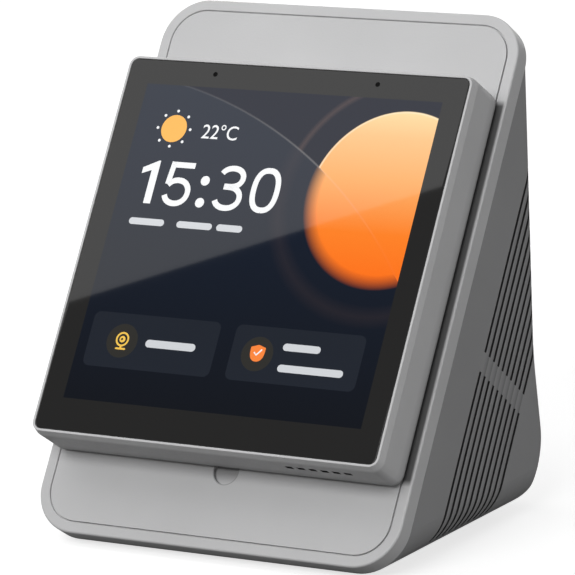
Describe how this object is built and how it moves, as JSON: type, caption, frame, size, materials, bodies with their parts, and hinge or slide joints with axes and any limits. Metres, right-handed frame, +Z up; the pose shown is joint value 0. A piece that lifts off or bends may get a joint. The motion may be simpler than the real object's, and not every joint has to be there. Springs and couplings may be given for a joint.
{
  "type": "smart home hub",
  "caption": "Square touch panel that clips onto a leaning, vented desk stand with a flared back",
  "frame": {"origin": "middle of the footprint at the table, Z = 0 on the rubber feet", "axes": "+X to the screen's right side as one faces it, +Y to the back, +Z up"},
  "size_m": [0.0874, 0.0702, 0.1058],
  "materials": {
    "shell_grey": "fine moulded texture",
    "light_grey": "fine moulded texture",
    "dark_glass": "polished, black behind",
    "screw_steel": "zinc plated",
    "pressed_steel": "galvanised sheet",
    "black_rubber": "matt",
    "black_plastic": "moulded",
    "board_green": "solder mask",
    "foam": "closed-cell foam",
    "cell_black": "polariser",
    "reflector": "white reflector",
    "copper_yellow": "winding tape",
    "relay_blue": "moulded",
    "capacitor_sleeve": "shrink sleeve",
    "terminal_green": "moulded",
    "pad_blue": "soft",
    "flex_amber": "polyimide film",
    "aluminium": "pressed sheet"
  },
  "bodies": {
    "stand": {"stand_shell": "shell_grey", "front_frame": "light_grey", "front_plate": "light_grey", "plate_screws": "screw_steel", "base_plate": "shell_grey", "base_screws": "screw_steel", "rubber_feet": "black_rubber", "cord_grommet": "black_rubber", "cord_clamp": "black_plastic", "clamp_screws": "screw_steel", "mounting_bracket": "pressed_steel", "bracket_screws": "screw_steel", "power_lid": "black_plastic", "power_case": "black_plastic", "lid_screws": "screw_steel", "power_board": "board_green", "power_board_screws": "screw_steel", "transformer": "copper_yellow", "relays": "relay_blue", "capacitors": "capacitor_sleeve", "terminal_block": "terminal_green", "terminal_screws": "screw_steel", "board_socket": "black_plastic"},
    "panel": {"panel_housing": "light_grey", "cover_glass": "dark_glass", "glass_tape": "foam", "lcd_cell": "cell_black", "backlight": "reflector", "microphones": "pressed_steel", "mic_boots": "black_rubber", "chassis": "aluminium", "main_board": "board_green", "board_screws": "screw_steel", "shield_can": "pressed_steel", "thermal_pad": "pad_blue", "processor": "black_plastic", "pin_header": "black_plastic", "speaker": "black_plastic", "speaker_gasket": "foam", "display_connector": "black_plastic", "display_flex": "flex_amber", "antenna": "flex_amber", "back_cover": "light_grey", "cover_screws": "screw_steel"}
  },
  "joints": [
    {"name": "panel_release", "type": "slide", "parent": "stand", "child": "panel", "axis": [0, -0.8434, 0.5373], "range_m": [0, 0.02]}
  ]
}
